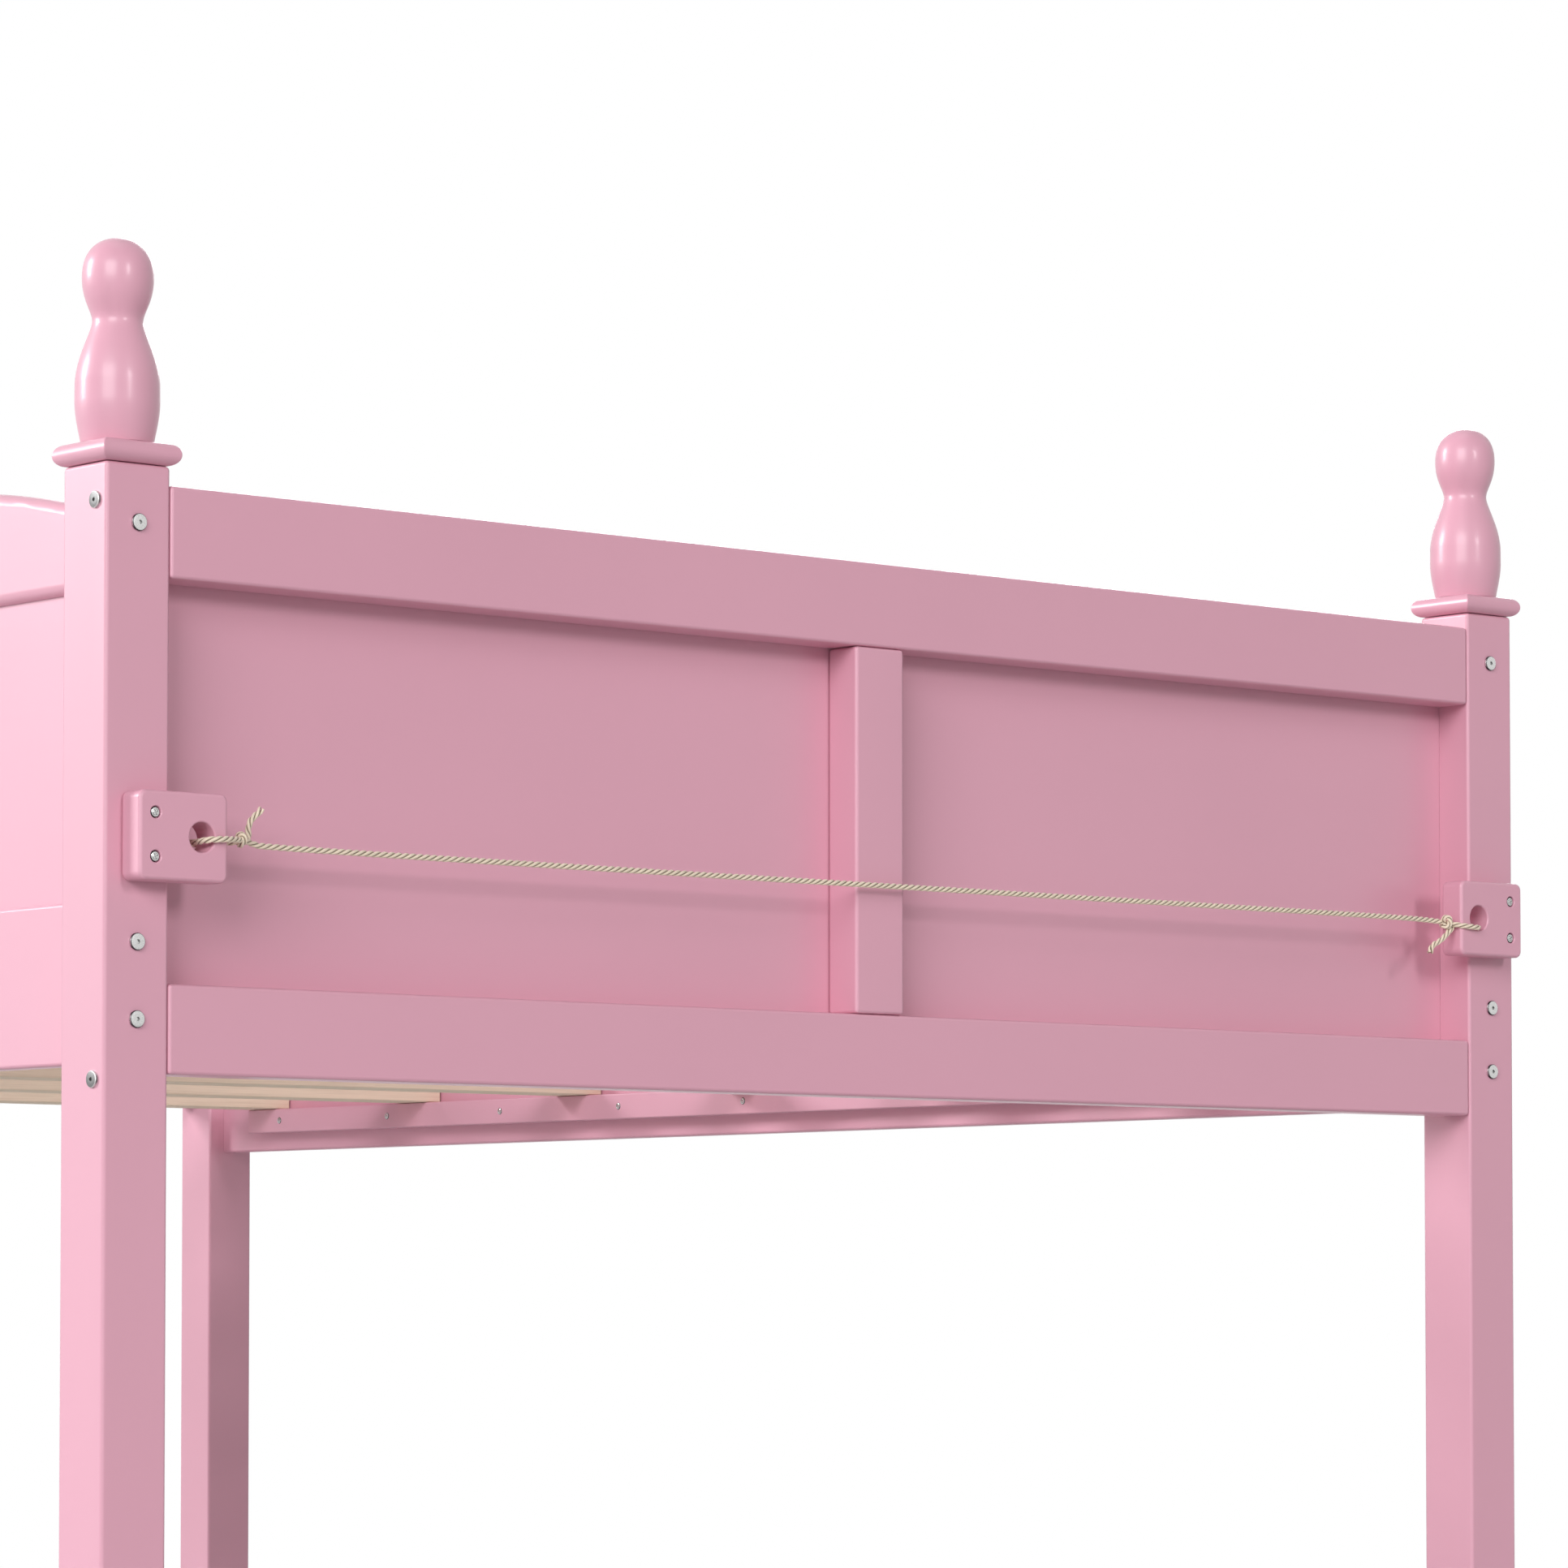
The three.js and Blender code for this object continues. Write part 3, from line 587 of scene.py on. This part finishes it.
def bolt_profile(length, insert=True):
    """A flat head with a bevelled rim, standing on level 0, over a shank with its threaded insert."""
    rim = BOLT_HEAD_RADIUS - BOLT_HEAD_BEVEL
    low, high = (from_tip - length for from_tip in INSERT_FROM_TIP)
    sleeve = [(BOLT_RADIUS, low), (INSERT_RADIUS, low), (INSERT_RADIUS, high), (BOLT_RADIUS, high)]
    return [(0.0, -length), (BOLT_RADIUS, -length), *(sleeve if insert else []), (BOLT_RADIUS, 0.0),
            (BOLT_HEAD_RADIUS, 0.0), (BOLT_HEAD_RADIUS, BOLT_HEAD_THICK - BOLT_HEAD_BEVEL),
            (rim, BOLT_HEAD_THICK), (0.0, BOLT_HEAD_THICK)]


def hex_socket():
    floor = BOLT_HEAD_THICK - BOLT_SOCKET_DEPTH
    return lathe([(0.0, floor), (BOLT_SOCKET_RADIUS, floor), (BOLT_SOCKET_RADIUS, SOCKET_CUTTER_TOP),
                  (0.0, SOCKET_CUTTER_TOP)], SOCKET_SIDES)


def bolt_mesh(name, profile):
    return carved(mesh_of(name, lathe(profile, HEAD_SIDES)), [hex_socket()])


def laid(mesh, facing, place):
    """The mesh with its upper side turned to face a given way, at its place."""
    mesh.transform(Matrix.Translation(place) @ FACING[facing].to_4x4())
    return mesh


def add_rail_bolts():
    """The long bolts through the posts into the side rails."""
    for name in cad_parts:
        if not name.startswith("rail_bolt"):
            continue
        low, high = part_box(name)
        near = "_near_" in name
        length = high.y - low.y - BOLT_HEAD_THICK
        seat = low.y + BOLT_HEAD_THICK if near else high.y - BOLT_HEAD_THICK
        place = Vector(((low.x + high.x) / 2, seat, (low.z + high.z) / 2))
        bolt = laid(bolt_mesh(name, bolt_profile(length)), "-y" if near else "+y", place)
        add_piece(name + "_turned", bolt, METAL, [name])


def add_end_bolts():
    """The bolts that hold the end rails, two through each post's outer side."""
    for corner in CORNERS:
        low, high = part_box("post_" + corner)
        left, near = "left" in corner, "near" in corner
        x = low.x if left else high.x
        y = low.y + END_BOLT_INSET if near else high.y - END_BOLT_INSET
        profile = bolt_profile(END_BOLT_ROOT, insert=False)
        heads = [laid(bolt_mesh("end_bolt", profile), "-x" if left else "+x", Vector((x, y, level)))
                 for level in END_BOLT_LEVELS]
        name = "end_bolts_" + corner
        # their flats take the painted reflection of the side bolts' steel
        add_piece(name, merged(name, heads), SIDE_BOLT_METAL)


def screw_mesh(name, radius):
    """A head with a bevelled ring, a groove and a domed middle with a crossed recess, on level 0."""
    ring = radius - SCREW_BEVEL - SCREW_RING
    middle = ring - SCREW_GROOVE
    profile = [(0.0, -SCREW_ROOT), (radius, -SCREW_ROOT), (radius, 0.0), (radius - SCREW_BEVEL, SCREW_BEVEL),
               (ring, SCREW_BEVEL), (ring, SCREW_BEVEL - SCREW_GROOVE), (middle, SCREW_BEVEL - SCREW_GROOVE)]
    for i in range(DOME_STEPS):
        angle = i / DOME_STEPS * math.pi / 2
        profile.append((middle * math.cos(angle), SCREW_BEVEL + (SCREW_DOME - SCREW_BEVEL) * math.sin(angle)))
    profile.append((0.0, SCREW_DOME))
    cross = []
    for size in ((2 * CROSS_REACH, CROSS_WIDTH), (CROSS_WIDTH, 2 * CROSS_REACH)):
        arm = bmesh.new()
        bmesh.ops.create_cube(arm, size=1)
        bmesh.ops.scale(arm, vec=(*size, 2 * CROSS_DEPTH), verts=arm.verts)
        cross.append(placed(arm, Vector((0, 0, SCREW_DOME)), Matrix.Rotation(CROSS_TURN, 3, "Z")))
    return carved(mesh_of(name, lathe(profile, HEAD_SIDES)), cross)


def add_cleat_screws():
    """The row of screws along the inner face of each slat bearer."""
    for key in SIDES:
        low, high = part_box("slat_bearer_" + key)
        x = high.x if key == "left" else low.x
        start, end = low.y + CLEAT_SCREW_END, high.y - CLEAT_SCREW_END
        heads = []
        for i in range(CLEAT_SCREWS):
            place = Vector((x, start + (end - start) * i / (CLEAT_SCREWS - 1), (low.z + high.z) / 2))
            head = screw_mesh("cleat_screw", CLEAT_SCREW_RADIUS)
            heads.append(laid(head, "+x" if key == "left" else "-x", place))
        name = "cleat_screws_" + key
        add_piece(name, merged(name, heads), METAL)


# Rope blocks

BLOCK_ROUND = 3 * MM
BLOCK_CORNER = 6 * MM      # radius of the corners of its outline
BLOCK_STEPS = 6
EYE_RADIUS = 11.2 * MM
EYE_FLARE = 1.5 * MM
EYE_FROM_EDGE = 55.6 * MM  # from the block's outer edge to the middle of the eye
EYE_LIFT = 0.2 * MM
EYE_SIDES = 64
SINK_FROM_EDGE = 14.5 * MM
SINK_SPREAD = 16.2 * MM
SINK_LIFT = 0.4 * MM
SINK_RADIUS = 4.6 * MM
SINK_ROUND = 0.9 * MM
SINK_DEPTH = 3 * MM
SCREW_SEAT = Vector((0, SINK_DEPTH - SCREW_ROOT, 0))
CUTTER_OVER = 1 * MM
FLARE_STEPS = 5


def rounded_mouth(radius, round_by, level):
    """The profile of a bore's mouth, from inside outwards and up to its level."""
    points = []
    for i in range(FLARE_STEPS + 1):
        angle = i / FLARE_STEPS * math.pi / 2
        points.append((radius + round_by * (1 - math.cos(angle)), level - round_by * (1 - math.sin(angle))))
    return [*points, (radius + round_by, level + CUTTER_OVER), (0.0, level + CUTTER_OVER)]


def eye_cutter(half):
    """A bore along Z that opens in a quarter round at both ends."""
    upper = rounded_mouth(EYE_RADIUS, EYE_FLARE, half)
    lower = [(radius, -level) for radius, level in reversed(upper)]
    return lathe([*lower, *upper], EYE_SIDES)


def sink_cutter():
    """A flat-bottomed sink under level 0 with a rounded rim."""
    mouth = rounded_mouth(SINK_RADIUS, SINK_ROUND, 0.0)
    return lathe([(0.0, -SINK_DEPTH), (SINK_RADIUS, -SINK_DEPTH), *mouth], EYE_SIDES)


def add_rope_blocks():
    turn = FACING["-y"]
    for key, side in SIDES.items():
        name = "rope_block_" + key
        low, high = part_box(name)
        size, middle = high - low, (low + high) / 2
        outer = low.x if side < 0 else high.x
        eye_place = Vector((outer - side * EYE_FROM_EDGE, middle.y, middle.z + EYE_LIFT))
        cutters = [placed(eye_cutter(size.y / 2), eye_place, turn)]
        screws = []
        for spread in (-SINK_SPREAD, SINK_SPREAD):
            place = Vector((outer - side * SINK_FROM_EDGE, low.y, middle.z + SINK_LIFT + spread))
            cutters.append(placed(sink_cutter(), place, turn))
            screws.append(laid(screw_mesh("block_screw", SCREW_RADIUS), "-y", place + SCREW_SEAT))
        block = plate((size.x, size.z, size.y), BLOCK_ROUND, BLOCK_STEPS, BLOCK_CORNER, BLOCK_STEPS)
        shaped = carved(mesh_of(name, placed(block, middle, turn)), cutters)
        add_piece(name + "_shaped", shaped, PAINTED[2], [name])
        add_piece("block_screws_" + key, merged("block_screws_" + key, screws), METAL)


# Rope

ROPE_DIAMETER = 5 * MM
ROPE_LAY = 20 * MM         # length of rope in which a strand goes once round
STRAND_SHARE = 0.235       # of the diameter: a strand's own radius
STRANDS = 3
STRAND_SIDES = 12
ROPE_STEP = 1.3 * MM
ROUTE_FINENESS = 12        # points worked out from one given point to the next, before even spacing
FRAY_STEPS = 4             # steps over which the strands of a tail open out at its end
FRAY_SPREAD = 0.45         # how much further apart they are there
FRAY_THIN = 0.94           # how thick they are there
ROUTE_TWIST = 0.4          # radians by which the strands are turned where a route starts
BACK_TWIST = 1.1
KNOT_TWIST = 0.2

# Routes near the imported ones, as millimetres in from the post's side, in front of the line and above it

ROPE_ROUTES = {
    "left": ((73, 0, 0), (73, 6, 0.3), (74.1, 11, 0.8), (77.6, 14.5, 1.3), (84, 15.6, 1.8),
             (90.5, 14.6, 2.2), (101, 10, 2.7), (108, 5.5, 3.1), (114.5, 2.5, 3), (120, 0.9, 2),
             (126, 0.2, 0.5), (132, 0, 0)),
    "right": ((72, 0, -5), (71.6, 6, -5.4), (71.6, 11, -5.7), (74, 14.6, -5.9), (79, 15.5, -5.8),
              (84.5, 15.3, -5.5), (90.3, 13.4, -5), (95.3, 9.3, -4.2), (98.5, 5.4, -3.2),
              (103, 2.3, -2.1), (109, 0.5, -1.4), (117, 0, -0.9), (130, 0, -0.4), (150, 0, 0)),
}
ROPE_BACKS = {             # of the part that returns behind the block, up to the knot
    "left": ((73, 0, 0), (73, -6, 0), (74.1, -11, 0), (77.6, -14.5, 0), (84, -15.6, 0),
             (90.5, -14.6, 0.3), (101, -9, 1), (108, -3.5, 2), (112, -1, 2)),
    "right": ((72, 0, -5), (72.4, -6, -4.6), (74.1, -11, -4.2), (77.6, -14.5, -3.8),
              (84, -15.6, -3.5), (90.5, -13.5, -3.2), (96, -8, -3), (101, -3, -3)),
}
KNOT_MIDDLES = {"left": (114, 0, 3.9), "right": (99.5, 3, -0.5)}
KNOT_TURNS = {             # from a knot's middle: right, up and forward; the last points are the tail
    "left": ((-2.2, -3.8, -0.5), (-3.6, -4.4, 3), (-2.6, -1.6, 5.8), (-2.6, 1.4, 6.2), (-3.7, 3.3, 5),
             (-5.2, 2.8, 2.5), (-4.4, 0.6, 0.2), (-0.8, -1, -2.2), (3.6, -1.2, -2.8), (6.6, 0.6, -2.6),
             (6.9, 3.4, -2.3), (6.6, 7, -2.2), (7.2, 11.2, -2), (9.1, 15.2, -2), (13.3, 19, -2),
             (18.8, 23.7, -2)),
    "right": ((-8.7, -4.2, 1), (-6.9, -6, 3.5), (-4.3, -3.9, 4.8), (-3.6, -0.4, 5), (-5.1, 2.5, 4.5),
              (-7.1, 2.9, 3), (-7.2, 0.8, 1), (-3, -1.9, -1.5), (4.1, -3.4, -3), (4.7, -5.2, -0.5),
              (0, -7.7, 2.5), (-4.9, -10.7, 3.5), (-8.6, -14, 3.5), (-15.3, -18.7, 3),
              (-22.8, -22.5, 2.5), (-25.9, -26.2, 2.5), (-26.9, -29.2, 2.5)),
}


def smooth_route(points, step):
    """Evenly spaced points on a smooth curve through the given ones."""
    ends = [2 * points[0] - points[1], *points, 2 * points[-1] - points[-2]]
    fine = [points[0]]
    for a, b, c, d in zip(ends, ends[1:], ends[2:], ends[3:]):
        t1 = (b - a).length ** 0.5
        t2 = t1 + (c - b).length ** 0.5
        t3 = t2 + (d - c).length ** 0.5
        for i in range(1, ROUTE_FINENESS + 1):
            t = t1 + (t2 - t1) * i / ROUTE_FINENESS
            ab = a.lerp(b, t / t1)
            bc = b.lerp(c, (t - t1) / (t2 - t1))
            cd = c.lerp(d, (t - t2) / (t3 - t2))
            fine.append(ab.lerp(bc, t / t2).lerp(bc.lerp(cd, (t - t1) / (t3 - t1)), (t - t1) / (t2 - t1)))
    travelled = [0.0]
    for a, b in zip(fine, fine[1:]):
        travelled.append(travelled[-1] + (b - a).length)
    count = max(2, round(travelled[-1] / step))
    route, k = [], 0
    for i in range(count + 1):
        at = travelled[-1] * i / count
        while k < len(fine) - 2 and travelled[k + 1] < at:
            k += 1
        share = (at - travelled[k]) / (travelled[k + 1] - travelled[k])
        route.append(fine[k].lerp(fine[k + 1], min(share, 1)))
    return route


def frames_along(route):
    """For each point of a route, two directions square to it that turn as little as they can."""
    neighbours = zip([route[0], *route[:-1]], [*route[1:], route[-1]])
    tangents = [(after - before).normalized() for before, after in neighbours]
    side = tangents[0].orthogonal().normalized()
    frames = []
    for tangent in tangents:
        side = (side - side.dot(tangent) * tangent).normalized()
        frames.append((side, tangent.cross(side)))
    return frames


def add_strand(bm, axis, centres, radii, sides):
    """A closed round tube along centres, each point with how far it faces away from the rope's axis."""
    layer = bm.verts.layers.float["outward"]
    rings = []
    for middle, centre, radius, (u, v) in zip(axis, centres, radii, frames_along(centres)):
        outward = (centre - middle).normalized()
        ring = []
        for i in range(sides):
            turn = 2 * math.pi * i / sides
            away = math.cos(turn) * u + math.sin(turn) * v
            point = bm.verts.new(centre + radius * away)
            # how far it faces out, which sets the hemp's painted groove shade
            point[layer] = away.dot(outward)
            ring.append(point)
        rings.append(ring)
    for first, second in zip(rings, rings[1:]):
        for i in range(sides):
            j = (i + 1) % sides
            bm.faces.new((first[i], first[j], second[j], second[i]))
    bm.faces.new(rings[0])
    bm.faces.new(rings[-1])


def twisted_rope(name, routes):
    """Ropes laid from three strands along routes of (points, start of twist, whether the end frays)."""
    bm = bmesh.new()
    bm.verts.layers.float.new("outward")
    strand = ROPE_DIAMETER * STRAND_SHARE
    offset = ROPE_DIAMETER / 2 - strand
    for route, start, frays in routes:
        frames = frames_along(route)
        step = (route[1] - route[0]).length
        last = len(route) - 1
        for k in range(STRANDS):
            centres, radii = [], []
            for i, (point, (u, v)) in enumerate(zip(route, frames)):
                angle = start - 2 * math.pi * (i * step / ROPE_LAY - k / STRANDS)
                opening = max(0.0, 1 - (last - i) / FRAY_STEPS) if frays else 0
                spread = offset * (1 + opening * FRAY_SPREAD)
                centres.append(point + spread * (math.cos(angle) * u + math.sin(angle) * v))
                radii.append(strand * (FRAY_THIN if opening else 1))
            add_strand(bm, route, centres, radii, STRAND_SIDES)
    return mesh_of(name, bm)


def rope_points(key, places):
    """Route points in the model's frame from places given as in, in front and above."""
    low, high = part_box("post_near_" + key)
    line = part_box("rope_line")
    plane, level = (line[0].y + line[1].y) / 2, (line[0].z + line[1].z) / 2
    side = SIDES[key]
    outer = low.x if side < 0 else high.x
    return [Vector((outer - side * inward * MM, plane - front * MM, level + rise * MM))
            for inward, front, rise in places]


def knot_route(key):
    """Round both strands of the loop, then out into the tail."""
    middle = rope_points(key, [KNOT_MIDDLES[key]])[0]
    turns = [middle + Vector((right, -forward, up)) * MM for right, up, forward in KNOT_TURNS[key]]
    return smooth_route(turns, ROPE_STEP)


def add_rope():
    left, right = (rope_points(key, ROPE_ROUTES[key]) for key in SIDES)
    route = smooth_route([*left, *reversed(right)], ROPE_STEP)
    rope = add_piece("rope", twisted_rope("rope", [(route, ROUTE_TWIST, False)]), FIBRE,
                     ["rope_line", "rope_loop_left", "rope_loop_right"])
    for key in SIDES:
        back = smooth_route(rope_points(key, ROPE_BACKS[key]), ROPE_STEP)
        name = "rope_end_" + key
        mesh = twisted_rope(name, [(back, BACK_TWIST, False), (knot_route(key), KNOT_TWIST, True)])
        add_piece(name, mesh, FIBRE, ["rope_knot_" + key])


# Floor, background and light

FLOOR_RADIUS = 6.5
FLOOR_SIDES = 96
FLOOR_FADE = (2.2, 6.0)    # metres from its middle between which the floor fades into the background
FLOOR_COLOUR = (0.60, 0.60, 0.60)
FLOOR_ROUGHNESS = 0.7
WHITE = (1, 1, 1, 1)
WORLD_LEVEL = 0.12


def background_factor(tree):
    """1 for rays that show the background: from the camera, or mirrored or let through by a surface."""
    path = add_node(tree, "ShaderNodeLightPath")
    total = path.outputs["Is Camera Ray"]
    for name in ("Is Glossy Ray", "Is Transmission Ray"):
        total = calculated(tree, "MAXIMUM", total, path.outputs[name])
    return total


def add_world():
    world = bpy.data.worlds.new("studio")
    bpy.context.scene.world = world
    world.use_nodes = True
    tree = world.node_tree
    tree.nodes.clear()
    light = add_node(tree, "ShaderNodeBackground", {"Color": WHITE, "Strength": WORLD_LEVEL})
    seen = add_node(tree, "ShaderNodeBackground", {"Color": WHITE, "Strength": 1.0})
    either = add_node(tree, "ShaderNodeMixShader", {"Fac": background_factor(tree), 1: light.outputs[0],
                                                    2: seen.outputs[0]})
    add_node(tree, "ShaderNodeOutputWorld", {"Surface": either.outputs[0]})


def floor_material():
    material, tree, shader = new_material("pale_floor")
    set_inputs(tree, shader, {"Base Color": (*FLOOR_COLOUR, 1), "Roughness": FLOOR_ROUGHNESS})
    place = add_node(tree, "ShaderNodeTexCoord").outputs["Object"]
    reach = add_node(tree, "ShaderNodeVectorMath", {0: place}, operation="LENGTH").outputs["Value"]
    fade = progress(tree, reach, *FLOOR_FADE, interpolation_type="SMOOTHSTEP")
    factor = calculated(tree, "MULTIPLY", fade, background_factor(tree))
    white = add_node(tree, "ShaderNodeEmission", {"Color": WHITE, "Strength": 1.0})
    either = add_node(tree, "ShaderNodeMixShader", {"Fac": factor, 1: shader.outputs[0],
                                                    2: white.outputs[0]})
    output = next(node for node in tree.nodes if node.type == "OUTPUT_MATERIAL")
    tree.links.new(either.outputs[0], output.inputs["Surface"])
    return material


def add_floor():
    bm = bmesh.new()
    bmesh.ops.create_circle(bm, cap_ends=True, segments=FLOOR_SIDES, radius=FLOOR_RADIUS)
    floor = bpy.data.objects.new("floor", mesh_of("floor", bm))
    bpy.context.scene.collection.objects.link(floor)
    floor.data.materials.append(floor_material())


SOFTBOX_AIM = Vector((0, -0.5, 0.9))
SOFTBOXES = {              # degrees round from the near end to the left, degrees up, metres away, size, watts
    "key": (58, 20, 24, (13.7, 10.3), 3600),
    "front": (3, 18, 14, (1.9, 3.1), 435),
    "back": (136, 20, 14, (3.6, 4.6), 1270),
    "fill": (-135, 24, 16, (6.0, 6.0), 750),
    "top": (40, 85, 14, (6.0, 6.0), 100),
}


def add_softbox(name, turn, lift, reach, size, power):
    data = bpy.data.lights.new(name, "AREA")
    data.shape = "RECTANGLE"
    data.size, data.size_y = size
    data.energy = power
    light = bpy.data.objects.new(name, data)
    turn, lift = math.radians(turn), math.radians(lift)
    away = Vector((-math.sin(turn) * math.cos(lift), -math.cos(turn) * math.cos(lift), math.sin(lift)))
    light.location = SOFTBOX_AIM + reach * away
    light.rotation_euler = (-away).to_track_quat("-Z", "Y").to_euler()
    bpy.context.scene.collection.objects.link(light)


def add_lights():
    for name, settings in SOFTBOXES.items():
        add_softbox(name, *settings)
    bpy.context.scene.view_settings.view_transform = "Standard"


add_camera()
add_rope()
dress_boards()
add_caps_and_finials()
add_rail_bolts()
add_end_bolts()
add_cleat_screws()
add_rope_blocks()
add_world()
add_floor()
add_lights()
